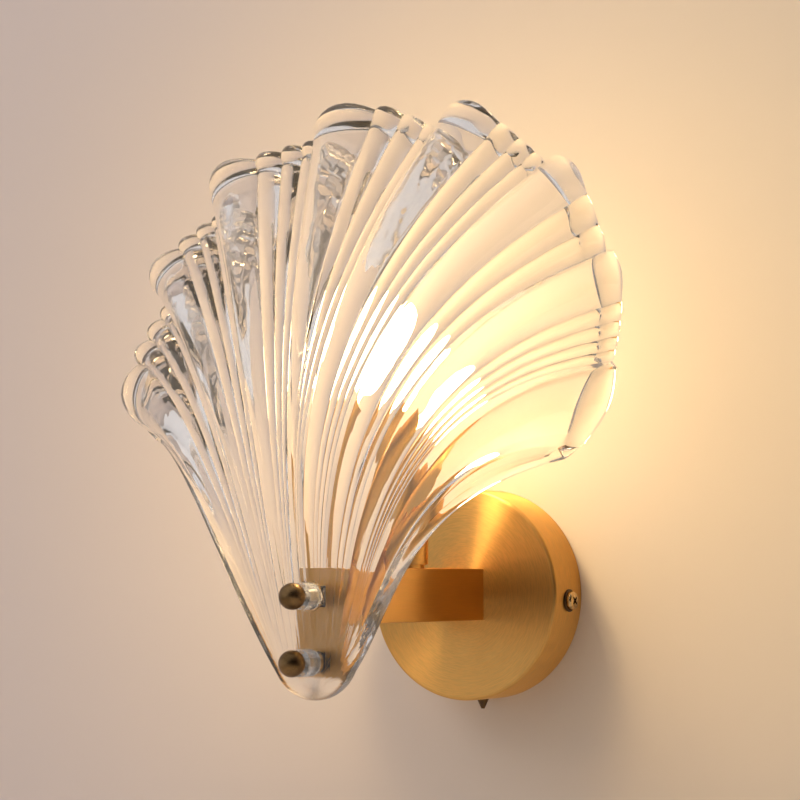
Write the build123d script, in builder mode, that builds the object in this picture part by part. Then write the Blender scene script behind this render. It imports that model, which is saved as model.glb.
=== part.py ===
from build123d import *
import os
from math import asin, cos, degrees, pi, radians, sin, sqrt

# Shell wall sconce, in millimetres.  +Z is up, the wall is the plane y = 0 and
# the lamp stands out along -Y.  The origin is on the wall, at the middle of the
# canopy and of the two wall screws.  X runs right as seen from the room.

os.makedirs("parts", exist_ok=True)

# ---------------------------------------------------------------- sizes
# canopy, the round cup on the wall
canopy_r = 50.0
canopy_depth = 25.5
canopy_wall = 1.2
canopy_edge_r = 1.6

# mounting plate under the canopy
plate_t = 1.5
plate_disc_r = 36.0
tab_gap = 0.8               # between the bent tabs and the canopy's wall
plate_reach = canopy_r - canopy_wall - tab_gap
side_tab_w = 14.0
side_tab_len = 19.0
bottom_tab_w = 12.0
bottom_tab_len = 11.0
cable_hole_r = 8.0
wall_slot_spacing = 60.0
wall_slot_len = 12.0
wall_slot_r = 2.3

# screws through the canopy's rim
side_screw_r = 2.0
side_screw_drop = 2.8       # below the middle of the canopy
side_screw_len = 9.0
side_head_r = 4.2
side_head_h = 2.6
side_washer_r = 5.3
side_washer_t = 0.8
recess_w = 1.1
recess_span = 4.6
recess_depth = 1.5
bottom_screw_r = 1.5
bottom_screw_len = 7.0
bottom_screw_back = 6.5     # from the wall
bottom_head_r = 2.9
bottom_head_tip_r = 0.8
bottom_head_h = 4.6
screw_hole_gap = 0.3

# arm, a square brass tube with a brazed block and a front plate
arm_w = 23.0
arm_h = 24.2
arm_wall = 2.0
arm_edge_r = 0.6
arm_len = 111.0
block_len = 14.0
front_plate_t = 5.0
front_plate_bottom = 34.5   # below the arm's axis
front_plate_edge_r = 0.6

# hollow threaded nipples
nipple_r = 5.0
nipple_bore_r = 3.75
nipple_fit = 0.05
nipple_chamfer = 0.4
arm_nipple_in_canopy = 17.0  # front face of the wall to the nipple's end
arm_nipple_in_block = 12.0
nut_t = 3.0
nut_across_flats = 14.0
washer_t = 1.2
washer_r = 8.6
earth_ear_w = 6.0
earth_ear_reach = 15.0

# glass fixings
stud_r = 2.0
stud_spacing = 28.0
stud_thread_in_nut = 7.0
rear_pad_t = 2.5
rear_pad_r = 4.6
pad_bore_r = 2.25
glass_hole_r = 4.2
hole_sleeve_r = 4.0
spacer_len = 8.5
spacer_r = 5.8
spacer_bore_r = 2.1
spacer_edge_r = 0.6
ball_r = 5.7
ball_flat_r = 2.6
ball_bore_r = 2.05
ball_bore_end = 1.5         # from the stud's end to the bottom of the bore

# glass shell
glass_t = 7.0
rim_t = 6.0                 # the glass thins towards the rim
rim_half_w = 122.5
rim_half_h = 106.9
rim_centre_x = 1.5
rim_centre_z = 107.3
rim_centre_y = -116.0
rim_lean = 0.191            # backward lean of the rim, per unit of height
rim_side_back = 4.6
rim_step_out = 4.1          # each fluted group steps out and forward by
rim_step_front = 4.5
rib_full_angle = 110.0      # rim angle at which a rib has its full side sweep
foot_r = 18.1
foot_z = -40.5
foot_angle = 60.0
foot_lean = 30.7
foot_lean_power = 1.6
tip_lean = 89.0
tip_lean_power = 0.825
foot_pull = 0.295
tip_pull_mid = 0.476
tip_pull_side = 0.389
mid_shift_low = -9.2
mid_shift_high = -7.3
sweep_start = -0.5
group_angles = (-105.2, -73.1, -47.3, -17.5, 14.9, 43.3, 70.1, 96.2, 114.8)
group_flutes = (4, 4, 4, 4, 4, 3, 5, 1)
group_tip_rise = (-1.6, 1.5, 5.0, 1.0, 2.0, 2.0, 0.0, 0.0)
group_end_drop = (1.0, 0.0, 0.0, 6.0, 0.0, 0.0, 0.0, 0.0)
wide_share = 0.48
narrow_ratio = 0.86
step_angle = 1.6
first_edge_level = 0.0
start_level = 0.45
last_edge_level = -0.4
edge_angles = (-109.5, 119.5)  # plain strips beyond the first and last flutes
edge_levels = (-1.0, -2.8)
edge_leans = (-80.0, 72.0)
side_round = 1.3            # reach of the side edges' rounding, in glass thicknesses
rim_round = 0.6667          # the same at the rim and the foot, a half circle
crest_level = 1.0
wide_end_level = 0.33
wide_bulge = 0.12
narrow_bulge = 0.26
last_bulge = 0.12
back_bulge = 0.45
bulge_fade = (0.0, 0.15, 0.9, 1.0)  # share of the bulge at each of a rib's four points
seat_r = 6.6
seat_clear = 30.0

# lampholder and its brass sleeve
holder_y = -81.5
holder_washer_t = 1.5
holder_washer_r = 11.6
sleeve_r = 13.25
sleeve_wall = 0.8
sleeve_floor_t = 1.2
sleeve_h = 68.5
sleeve_edge_r = 0.35
holder_nipple_low = 6.6     # below the arm's top face
holder_nipple_high = 9.0    # above the sleeve's floor
holder_body_r = 11.0
holder_base_t = 9.3
holder_chamber_h = 26.0
holder_chamber_r = 8.6
holder_web_t = 4.0
holder_skirt_h = 24.0
shell_r = 7.7
shell_wall = 0.62
shell_h = 21.0
shell_hole_r = 4.2
holder_fit = 0.2
contact_r = 3.0
contact_h = 2.5
holder_window_w = 10.0
holder_window_h = 18.0
terminal_r = 2.2
terminal_x = 4.8
terminal_len = 14.0
rivet_r = 1.4
rivet_strap_t = 1.0
clamp_screw_r = 1.2
clamp_head_r = 1.8
clamp_head_h = 1.6
clamp_screw_up = 5.0        # above the terminal's lower end

# bulb, E14 with a 45 mm globe
bulb_globe_r = 22.5
bulb_wall = 0.8
bulb_centre_up = 52.5       # globe centre above the bulb's tip
bulb_neck_r = 6.3
bulb_cap_r = 7.0
bulb_cap_wall = 0.4
bulb_cap_h = 18.0
bulb_thread_pitch = 2.82
bulb_thread_depth = 0.5
bulb_threads = 5
first_thread_up = 2.1
bulb_insulator_h = 3.5
bulb_insulator_r = 3.6
bulb_tip_r = 2.3
bulb_tip_h = 1.5
bulb_flare_r = 10.3         # globe's radius where its neck begins
bulb_neck_in_cap = 12.0
bulb_stem_r = 2.6
bulb_stem_h = 24.0          # above the cap's upper edge
filament_r = 0.35
filament_ring_r = 7.0
filament_sink = 1.0         # ends of the filament in the stem
filament_bend_r = 1.2
bulb_fit = 0.05

# wiring
lead_r = 1.0
lead_gap = 1.6              # lead's axis from the middle plane
lead_low = 6.0              # below the arm's axis
lead_drop = 6.0             # straight run under the terminal block
lead_step_from = 6.0        # in front of the arm's end block, where the leads step down
lead_step_len = 16.0
lead_rise = 4.0             # straight run under the lampholder's terminals
earth_lead_r = 1.0
block_w = 20.0
block_h = 14.0
block_d = 14.0
block_edge_r = 1.5
block_up = 19.5             # lower face of the terminal block
pole_x = 5.5
pole_r = 2.4
pole_bore_r = 0.8
pole_inset = 2.0            # ends of the brass tubes, inside the block
pole_screw_r = 1.3
pole_screw_h = 4.0
slot_w = 0.6
slot_depth = 0.6
block_screw_r = 1.5
block_head_r = 2.4
block_head_h = 1.6
lead_bend_r = 8.0
lead_sweep_r = 20.0
earth_screw_x = 20.0
earth_screw_z = -14.0
earth_screw_r = 1.9
earth_head_r = 3.8
earth_head_h = 2.4
earth_lug_r = 4.6
earth_lug_t = 0.8
earth_lead_up = 6.0         # lead's end above the earth screw
earth_lead_on_ear = 5.0
earth_bend_r = 6.0

# ---------------------------------------------------------------- places
arm_start = canopy_depth
arm_end = arm_start + arm_len
plate_front = arm_end + front_plate_t
glass_back = plate_front + rear_pad_t
glass_front = glass_back + glass_t
spacer_front = glass_front + spacer_len
ball_seat = sqrt(ball_r**2 - ball_flat_r**2)
ball_centre = spacer_front + ball_seat
stud_end = spacer_front + stud_thread_in_nut
stud_heights = (0.0, -stud_spacing)
arm_top = arm_h / 2
side_screw_back = canopy_depth / 2
sleeve_floor = arm_top + holder_washer_t
chamber_floor = sleeve_floor + sleeve_floor_t + holder_base_t
web_low = chamber_floor + holder_chamber_h
web_top = web_low + holder_web_t
bulb_tip = web_top + contact_h
bulb_centre = bulb_tip + bulb_centre_up
cap_low = bulb_tip + bulb_tip_h + bulb_insulator_h
cap_top = cap_low + bulb_cap_h
canopy_inside = canopy_depth - canopy_wall
block_middle = block_up + block_h / 2
pole_depth = plate_t + block_d / 2


def facing(depth):
    """A plane parallel to the wall, at this depth in front of it, facing the room."""
    return Plane.XZ.offset(depth)


def level_plane(height, y=holder_y):
    """A level plane over the arm, its origin on the lampholder's axis."""
    return Plane((0, y, height))


# ---------------------------------------------------------------- mounting plate
with BuildPart() as mounting_plate:
    with BuildSketch(facing(0)):
        Circle(plate_disc_r)
        Rectangle(2 * plate_reach, side_tab_w)
        with Locations((0, -plate_reach / 2)):
            Rectangle(bottom_tab_w, plate_reach)
    extrude(amount=plate_t)
    with BuildSketch(facing(0)):
        with Locations((plate_reach - plate_t / 2, 0), (plate_t / 2 - plate_reach, 0)):
            Rectangle(plate_t, side_tab_w)
    extrude(amount=side_tab_len)
    with BuildSketch(facing(0)):
        with Locations((0, plate_t / 2 - plate_reach)):
            Rectangle(bottom_tab_w, plate_t)
    extrude(amount=bottom_tab_len)
    with BuildSketch(facing(0)):
        Circle(cable_hole_r)
        with Locations((-wall_slot_spacing / 2, 0), (wall_slot_spacing / 2, 0)):
            SlotOverall(wall_slot_len, 2 * wall_slot_r)
        with Locations((earth_screw_x, earth_screw_z)):
            Circle(earth_screw_r)
        with Locations((0, block_middle)):
            Circle(block_screw_r)
    extrude(amount=plate_t, mode=Mode.SUBTRACT)
    with BuildSketch(Plane.YZ.offset(-plate_reach)):
        with Locations((-side_screw_back, -side_screw_drop)):
            Circle(side_screw_r)
    extrude(amount=2 * plate_reach, mode=Mode.SUBTRACT)
    with BuildSketch(Plane.XY.offset(-plate_reach)):
        with Locations((0, -bottom_screw_back)):
            Circle(bottom_screw_r)
    extrude(amount=plate_t, mode=Mode.SUBTRACT)
mounting_plate.part.label = "mounting_plate"

# ---------------------------------------------------------------- canopy
with BuildPart() as canopy:
    with BuildSketch(facing(0)):
        Circle(canopy_r)
    extrude(amount=canopy_depth)
    fillet(canopy.edges().sort_by(Axis.Y)[0], canopy_edge_r)
    offset(amount=-canopy_wall, openings=canopy.faces().sort_by(Axis.Y)[-1])
    with BuildSketch(facing(canopy_depth - canopy_wall)):
        Circle(nipple_r + nipple_fit)
    extrude(amount=canopy_wall, mode=Mode.SUBTRACT)
    with BuildSketch(Plane.YZ.offset(-canopy_r)):
        with Locations((-side_screw_back, -side_screw_drop)):
            Circle(side_screw_r + screw_hole_gap)
    extrude(amount=2 * canopy_r, mode=Mode.SUBTRACT)
    with BuildSketch(Plane.XY.offset(-canopy_r)):
        with Locations((0, -bottom_screw_back)):
            Circle(bottom_screw_r + screw_hole_gap)
    extrude(amount=canopy_r / 2, mode=Mode.SUBTRACT)
canopy.part.label = "canopy"

# ---------------------------------------------------------------- canopy screws
side_screws_list = []
side_washers_list = []
for side in (1, -1):
    seat = Plane((side * canopy_r, -side_screw_back, -side_screw_drop), x_dir=(0, 1, 0), z_dir=(side, 0, 0))
    with BuildPart() as side_washer:
        with BuildSketch(seat):
            Circle(side_washer_r)
            Circle(side_screw_r + nipple_fit, mode=Mode.SUBTRACT)
        extrude(amount=side_washer_t)
        chamfer(side_washer.edges().filter_by(GeomType.CIRCLE).sort_by(SortBy.RADIUS)[-2:], side_washer_t / 4)
    side_washers_list.append(side_washer.part)
    head_plane = seat.offset(side_washer_t)
    with BuildPart() as side_screw:
        with BuildSketch(head_plane):
            Circle(side_head_r)
        extrude(amount=side_head_h)
        fillet(side_screw.edges().sort_by(Axis.X)[-1 if side > 0 else 0], side_head_h / 2)
        with BuildSketch(head_plane):
            Circle(side_screw_r)
        extrude(amount=-side_screw_len)
        with BuildSketch(head_plane.offset(side_head_h)):
            Rectangle(recess_span, recess_w, rotation=45)
            Rectangle(recess_w, recess_span, rotation=45)
        extrude(amount=-recess_depth, mode=Mode.SUBTRACT)
    side_screws_list.append(side_screw.part)
side_screws = Compound(side_screws_list, label="side_screws")
side_screw_washers = Compound(side_washers_list, label="side_screw_washers")

with BuildPart() as bottom_screw:
    with BuildSketch(Plane((0, -bottom_screw_back, -canopy_r))):
        Circle(bottom_head_r)
    with BuildSketch(Plane((0, -bottom_screw_back, -canopy_r - bottom_head_h))):
        Circle(bottom_head_tip_r)
    loft()
    with BuildSketch(Plane((0, -bottom_screw_back, -canopy_r))):
        Circle(bottom_screw_r)
    extrude(amount=bottom_screw_len)
bottom_screw.part.label = "bottom_screw"

# ---------------------------------------------------------------- arm
with BuildPart() as arm:
    with BuildSketch(facing(arm_start)):
        Rectangle(arm_w, arm_h)
        fillet(vertices(), arm_edge_r)
    extrude(amount=arm_len)
    with BuildSketch(facing(arm_start)):
        Rectangle(arm_w - 2 * arm_wall, arm_h - 2 * arm_wall)
    extrude(amount=arm_len, mode=Mode.SUBTRACT)
    with BuildSketch(level_plane(arm_top)):
        Circle(nipple_r + nipple_fit)
    extrude(amount=-arm_wall, mode=Mode.SUBTRACT)
arm.part.label = "arm"

with BuildPart() as arm_end_block:
    with BuildSketch(facing(arm_start)):
        Rectangle(arm_w - 2 * arm_wall, arm_h - 2 * arm_wall)
        Circle(nipple_r + nipple_fit, mode=Mode.SUBTRACT)
    extrude(amount=block_len)
arm_end_block.part.label = "arm_end_block"

plate_height = front_plate_bottom + arm_top
with BuildPart() as front_plate:
    with BuildSketch(facing(arm_end)):
        with Locations((0, arm_top - plate_height / 2)):
            Rectangle(arm_w, plate_height)
        with Locations(*[(0, height) for height in stud_heights]):
            Circle(stud_r, mode=Mode.SUBTRACT)
    extrude(amount=front_plate_t)
    fillet(front_plate.edges().filter_by(Axis.Y).filter_by(GeomType.LINE), front_plate_edge_r)
front_plate.part.label = "front_plate"

# ---------------------------------------------------------------- nipple at the canopy
with BuildPart() as arm_nipple:
    with BuildSketch(facing(arm_nipple_in_canopy)):
        Circle(nipple_r)
        Circle(nipple_bore_r, mode=Mode.SUBTRACT)
    extrude(amount=arm_start + arm_nipple_in_block - arm_nipple_in_canopy)
    chamfer(arm_nipple.edges().filter_by(GeomType.CIRCLE).sort_by(SortBy.RADIUS)[-2:], nipple_chamfer)
arm_nipple.part.label = "arm_nipple"

with BuildPart() as arm_nipple_washer:
    with BuildSketch(facing(canopy_inside - washer_t)):
        Circle(washer_r)
        with Locations((earth_ear_reach / 2, 0)):
            Rectangle(earth_ear_reach, earth_ear_w)
        Circle(nipple_r + nipple_fit, mode=Mode.SUBTRACT)
    extrude(amount=washer_t)
arm_nipple_washer.part.label = "arm_nipple_washer"

with BuildPart() as arm_nipple_nut:
    with BuildSketch(facing(canopy_inside - washer_t - nut_t)):
        RegularPolygon(nut_across_flats / 2, 6, major_radius=False)
        Circle(nipple_r + nipple_fit, mode=Mode.SUBTRACT)
    extrude(amount=nut_t)
arm_nipple_nut.part.label = "arm_nipple_nut"

# ---------------------------------------------------------------- glass shell
foot_plane_y = -(glass_back + glass_front) / 2


def rim_point(psi, level, group):
    """Point on the middle surface's rim; level is the height of the step, -1 to 1."""
    out = rim_step_out * level
    out += group_tip_rise[group] * max(level, 0) + group_end_drop[group] * min(level, 0)
    side, up = sin(radians(psi)), cos(radians(psi))
    return Vector(
        rim_centre_x + (rim_half_w + out) * side,
        rim_centre_y + rim_lean * rim_half_h * up + rim_side_back * side**2 - rim_step_front * level,
        rim_centre_z + rim_half_h / rim_half_w * (rim_half_w + out) * up,
    )


def foot_turn(psi):
    """Angle round the foot's arc at which a rib starts, from straight down."""
    return radians(foot_angle * psi / rib_full_angle)


def rib(psi, level=0.0, group=0, end_side=0):
    """The four Bezier points of a rib, from the shell's foot to its rim."""
    share = psi / rib_full_angle
    size = abs(share)
    sign = 1 if share >= 0 else -1
    middle = max(0.0, 1 - size**2)
    turn = foot_turn(psi)
    foot = Vector(foot_r * sin(turn), foot_plane_y, foot_z + foot_r * (1 - cos(turn)))
    tip = rim_point(psi, level, group)
    length = Vector(tip.X - foot.X, 0, tip.Z - foot.Z).length
    low = radians(foot_lean * sign * size**foot_lean_power)
    high = radians(tip_lean * sign * size**tip_lean_power)
    if end_side:
        high = radians(edge_leans[end_side > 0])
    pull = length * (tip_pull_mid + (tip_pull_side - tip_pull_mid) * size**2)
    first = foot + Vector(sin(low), 0, cos(low)) * (length * foot_pull) + Vector(mid_shift_low * middle, 0, 0)
    second = Vector(
        tip.X - sin(high) * pull + mid_shift_high * middle,
        foot_plane_y + sweep_start * (tip.Y - foot_plane_y),
        tip.Z - cos(high) * pull,
    )
    return [foot, first, second, tip]


def directions(psi, end_side=0):
    """Along, across and out of the glass at each of a rib's four points."""
    here = rib(psi, end_side=end_side)
    beside = rib(psi + 1, end_side=end_side)
    rows = []
    for row in range(4):
        if row < 3:
            along = (here[row + 1] - here[row]).normalized()
        else:
            along = (here[3] - here[2]).normalized()
        across = (beside[row] - here[row]).normalized()
        normal = across.cross(along).normalized() if row == 3 else Vector(0, -1, 0)
        rows.append([along, across, normal])
    rows[2][2] = (rows[3][2] + Vector(0, -1, 0)).normalized()
    return rows


def rib_faces(psi, level, group, end_side=0):
    """Front and back points of a rib and the way its rounded edge bulges."""
    middle = rib(psi, level, group, end_side)
    rows = directions(psi, end_side)
    halves = (glass_t / 2, glass_t / 2, rim_t / 2, rim_t / 2)
    front = [point + row[2] * half for point, row, half in zip(middle, rows, halves)]
    back = [point - row[2] * half for point, row, half in zip(middle, rows, halves)]
    turn = foot_turn(psi)
    foot_out = Vector(sin(turn), 0, -cos(turn))
    side_out = [(across - along * across.dot(along)).normalized() * end_side for along, across, _ in rows]
    rim_out = (rows[3][0] + rows[3][1] * end_side).normalized()
    return {"front": front, "back": back, "out": [foot_out, side_out[1], side_out[2], rim_out]}


def crest_points(left, right, middle, bulge):
    """Control points between two ribs that carry a flute's crest."""
    points = []
    rows = directions(middle[0])
    for row in range(4):
        width = (right[row] - left[row]).length
        crest = middle[1][row] + rows[row][2] * (bulge * width * bulge_fade[row])
        points.append(crest * 2 - (left[row] + right[row]) / 2)
    return points


def round_edge(front, back, out, fullness):
    """A round between the two faces, as a row of four control points."""
    reach = (back - front).length * fullness
    return [front, front + out * reach, back + out * reach, back]


# one entry for each rib: rim angle, step level, group, and the flute or strip that follows it
ribs = [[edge_angles[0], edge_levels[0], 0, "edge"]]
for group, count in enumerate(group_flutes):
    start, end = group_angles[group], group_angles[group + 1]
    if group > 0:
        ribs[-1][3] = "step"
        start += step_angle
    first_level = start_level if group > 0 else first_edge_level
    ribs.append([start, first_level, group, "wide"])
    if count == 1:
        ribs[-1][3] = "last"
        ribs.append([end, last_edge_level, group, "edge"])
        ribs.append([edge_angles[1], edge_levels[1], group, None])
        continue
    wide_end = start + wide_share * (end - start)
    shares = [narrow_ratio**k for k in range(count - 1)]
    reached = 0.0
    for share in shares:
        ribs.append([
            wide_end + reached * (end - wide_end),
            wide_end_level - (1 + wide_end_level) * reached,
            group,
            "narrow",
        ])
        reached += share / sum(shares)
    ribs.append([end, -1.0, group, None])

bulges = {"wide": wide_bulge, "narrow": narrow_bulge, "last": last_bulge}
edges_of_ribs = []
for place, (psi, level, group, kind) in enumerate(ribs):
    end_side = -1 if place == 0 else (1 if place == len(ribs) - 1 else 0)
    edges_of_ribs.append(rib_faces(psi, level, group, end_side))

glass_faces = []
for place in range(len(ribs) - 1):
    psi, level, group, kind = ribs[place]
    next_psi, next_level = ribs[place + 1][0], ribs[place + 1][1]
    left, right = edges_of_ribs[place], edges_of_ribs[place + 1]
    mid_psi = (psi + next_psi) / 2
    nets = {}
    for name, share in (("front", 1.0), ("back", back_bulge)):
        if kind in ("step", "edge"):
            nets[name] = [(a + b) / 2 for a, b in zip(left[name], right[name])]
            continue
        mid_level = crest_level if kind in ("wide", "last") else (level + next_level) / 2
        mid = rib_faces(mid_psi, mid_level, group)[name]
        nets[name] = crest_points(left[name], right[name], (mid_psi, mid), bulges[kind] * share)
    glass_faces.append(Face.make_bezier_surface(list(zip(left["front"], nets["front"], right["front"]))))
    glass_faces.append(Face.make_bezier_surface(list(zip(left["back"], nets["back"], right["back"]))))
    mid_out = rib_faces(mid_psi, 0.0, group)["out"]
    for row in (0, 3):
        glass_faces.append(Face.make_bezier_surface([
            round_edge(left["front"][row], left["back"][row], left["out"][row], rim_round),
            round_edge(nets["front"][row], nets["back"][row], mid_out[row], rim_round),
            round_edge(right["front"][row], right["back"][row], right["out"][row], rim_round),
        ]))
for edge in (edges_of_ribs[0], edges_of_ribs[-1]):
    glass_faces.append(Face.make_bezier_surface([
        round_edge(edge["front"][row], edge["back"][row], edge["out"][row], fullness)
        for row, fullness in enumerate((rim_round, side_round, side_round, rim_round))
    ]))

with BuildPart() as glass_shell:
    add(Solid(Shell(glass_faces)))
    for height in stud_heights:
        with BuildSketch(facing(glass_back - seat_clear)):
            with Locations((0, height)):
                Circle(glass_hole_r)
        extrude(amount=glass_t + 2 * seat_clear, mode=Mode.SUBTRACT)
        with BuildSketch(facing(glass_back - seat_clear)):
            with Locations((0, height)):
                Circle(seat_r)
        extrude(amount=seat_clear, mode=Mode.SUBTRACT)
        with BuildSketch(facing(glass_front)):
            with Locations((0, height)):
                Circle(seat_r)
        extrude(amount=seat_clear, mode=Mode.SUBTRACT)
glass_shell.part.label = "glass_shell"
print("glass shell valid", glass_shell.part.is_valid, "volume", round(glass_shell.part.volume))

# ---------------------------------------------------------------- glass fixings
studs_list = []
rear_pads_list = []
hole_sleeves_list = []
for height in stud_heights:
    with BuildPart() as stud:
        with BuildSketch(facing(arm_end)):
            with Locations((0, height)):
                Circle(stud_r)
        extrude(amount=stud_end - arm_end)
        chamfer(stud.edges().sort_by(Axis.Y)[0], stud_r / 4)
    studs_list.append(stud.part)
    with BuildPart() as rear_pad:
        with BuildSketch(facing(plate_front)):
            with Locations((0, height)):
                Circle(rear_pad_r)
                Circle(pad_bore_r, mode=Mode.SUBTRACT)
        extrude(amount=rear_pad_t)
    rear_pads_list.append(rear_pad.part)
    with BuildPart() as hole_sleeve:
        with BuildSketch(facing(glass_back)):
            with Locations((0, height)):
                Circle(hole_sleeve_r)
                Circle(pad_bore_r, mode=Mode.SUBTRACT)
        extrude(amount=glass_t)
    hole_sleeves_list.append(hole_sleeve.part)
glass_studs = Compound(studs_list, label="glass_studs")
rear_pads = Compound(rear_pads_list, label="rear_pads")
hole_sleeves = Compound(hole_sleeves_list, label="hole_sleeves")

fixing_parts = []
for name, height in (("upper", stud_heights[0]), ("lower", stud_heights[1])):
    with BuildPart() as spacer:
        with BuildSketch(facing(glass_front)):
            with Locations((0, height)):
                Circle(spacer_r)
                Circle(spacer_bore_r, mode=Mode.SUBTRACT)
        extrude(amount=spacer_len)
        fillet(spacer.edges().filter_by(GeomType.CIRCLE).sort_by(SortBy.RADIUS)[-2:], spacer_edge_r)
    spacer.part.label = f"{name}_spacer"
    fixing_parts.append(spacer.part)
    with BuildPart() as ball_nut:
        with BuildSketch(Plane.YZ):
            with Locations((-ball_centre, height)):
                Circle(ball_r)
                Rectangle(2 * ball_r, 2 * ball_r, align=(Align.CENTER, Align.MAX), mode=Mode.SUBTRACT)
        revolve(axis=Axis((0, 0, height), (0, 1, 0)))
        split(bisect_by=facing(spacer_front), keep=Keep.TOP)
        with BuildSketch(facing(spacer_front)):
            with Locations((0, height)):
                Circle(ball_bore_r)
        extrude(amount=stud_thread_in_nut + ball_bore_end, mode=Mode.SUBTRACT)
    ball_nut.part.label = f"{name}_ball_nut"
    fixing_parts.append(ball_nut.part)

# ---------------------------------------------------------------- lampholder
body_floor = sleeve_floor + sleeve_floor_t
with BuildPart() as holder_washer:
    with BuildSketch(level_plane(arm_top)):
        Circle(holder_washer_r)
        Circle(nipple_r + nipple_fit, mode=Mode.SUBTRACT)
    extrude(amount=holder_washer_t)
holder_washer.part.label = "holder_washer"

with BuildPart() as holder_nipple:
    with BuildSketch(level_plane(arm_top - holder_nipple_low)):
        Circle(nipple_r)
        Circle(nipple_bore_r, mode=Mode.SUBTRACT)
    extrude(amount=holder_nipple_low + holder_washer_t + sleeve_floor_t + holder_nipple_high)
holder_nipple.part.label = "holder_nipple"

with BuildPart() as holder_nut:
    with BuildSketch(level_plane(arm_top - arm_wall - nut_t)):
        RegularPolygon(nut_across_flats / 2, 6, major_radius=False)
        Circle(nipple_r + nipple_fit, mode=Mode.SUBTRACT)
    extrude(amount=nut_t)
holder_nut.part.label = "holder_nut"

with BuildPart() as holder_sleeve:
    with BuildSketch(level_plane(sleeve_floor)):
        Circle(sleeve_r)
    extrude(amount=sleeve_h)
    fillet(holder_sleeve.edges().sort_by(Axis.Z)[0], 2 * sleeve_edge_r)
    with BuildSketch(level_plane(body_floor)):
        Circle(sleeve_r - sleeve_wall)
    extrude(amount=sleeve_h, mode=Mode.SUBTRACT)
    fillet(holder_sleeve.edges().group_by(Axis.Z)[-1], sleeve_edge_r)
    with BuildSketch(level_plane(sleeve_floor)):
        Circle(nipple_r + nipple_fit)
    extrude(amount=sleeve_floor_t, mode=Mode.SUBTRACT)
holder_sleeve.part.label = "holder_sleeve"

with BuildPart() as holder_body:
    with BuildSketch(level_plane(body_floor)):
        Circle(holder_body_r)
    extrude(amount=web_top + holder_skirt_h - body_floor)
    with BuildSketch(level_plane(web_top)):
        Circle(shell_r + holder_fit)
    extrude(amount=holder_skirt_h, mode=Mode.SUBTRACT)
    with BuildSketch(level_plane(chamber_floor)):
        Circle(holder_chamber_r)
    extrude(amount=holder_chamber_h, mode=Mode.SUBTRACT)
    with BuildSketch(level_plane(body_floor)):
        Circle(nipple_r + nipple_fit)
    extrude(amount=holder_base_t, mode=Mode.SUBTRACT)
    with BuildSketch(level_plane(web_low)):
        with Locations((0, 0), (terminal_x, 0)):
            Circle(rivet_r)
    extrude(amount=holder_web_t, mode=Mode.SUBTRACT)
    with BuildSketch(facing(-holder_y)):
        with Locations((0, chamber_floor + holder_chamber_h / 2)):
            Rectangle(holder_window_w, holder_window_h)
    extrude(amount=holder_body_r, mode=Mode.SUBTRACT)
holder_body.part.label = "holder_body"

with BuildPart() as holder_screw_shell:
    with BuildSketch(level_plane(web_top)):
        Circle(shell_r)
    extrude(amount=shell_h)
    with BuildSketch(level_plane(web_top + shell_wall)):
        Circle(shell_r - shell_wall)
    extrude(amount=shell_h, mode=Mode.SUBTRACT)
    with BuildSketch(level_plane(web_top)):
        Circle(shell_hole_r)
    extrude(amount=shell_wall, mode=Mode.SUBTRACT)
holder_screw_shell.part.label = "holder_screw_shell"

with BuildPart() as holder_contact:
    with BuildSketch(level_plane(web_top)):
        Circle(contact_r)
    extrude(amount=contact_h)
    fillet(holder_contact.edges().sort_by(Axis.Z)[-1], contact_h / 4)
holder_contact.part.label = "holder_contact"

# the left terminal's strap runs to the middle contact, the right one's rivet to the screw shell
terminals_list = []
clamp_screws_list = []
clamp_height = web_low - terminal_len + clamp_screw_up
for x, rivet_x in ((-terminal_x, 0), (terminal_x, terminal_x)):
    with BuildPart() as terminal:
        with BuildSketch(level_plane(web_low - terminal_len)):
            with Locations((x, 0)):
                Circle(terminal_r)
        extrude(amount=terminal_len)
        with BuildSketch(level_plane(web_low)):
            with Locations(((x + rivet_x) / 2, 0)):
                Rectangle(abs(x - rivet_x) + 2 * rivet_r, 2 * rivet_r)
        extrude(amount=-rivet_strap_t)
        with BuildSketch(level_plane(web_low)):
            with Locations((rivet_x, 0)):
                Circle(rivet_r)
        extrude(amount=holder_web_t)
        with BuildSketch(facing(-holder_y)):
            with Locations((x, clamp_height)):
                Circle(clamp_screw_r)
        extrude(amount=terminal_r, mode=Mode.SUBTRACT)
    terminals_list.append(terminal.part)
    with BuildPart() as clamp_screw:
        with BuildSketch(facing(-holder_y)):
            with Locations((x, clamp_height)):
                Circle(clamp_screw_r)
        extrude(amount=terminal_r)
        with BuildSketch(facing(-holder_y + terminal_r)):
            with Locations((x, clamp_height)):
                Circle(clamp_head_r)
        extrude(amount=clamp_head_h)
        with BuildSketch(facing(-holder_y + terminal_r + clamp_head_h)):
            with Locations((x, clamp_height)):
                Rectangle(2 * clamp_head_r, slot_w)
        extrude(amount=-slot_depth, mode=Mode.SUBTRACT)
    clamp_screws_list.append(clamp_screw.part)
holder_terminals = Compound(terminals_list, label="holder_terminals")
holder_clamp_screws = Compound(clamp_screws_list, label="holder_clamp_screws")

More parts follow.
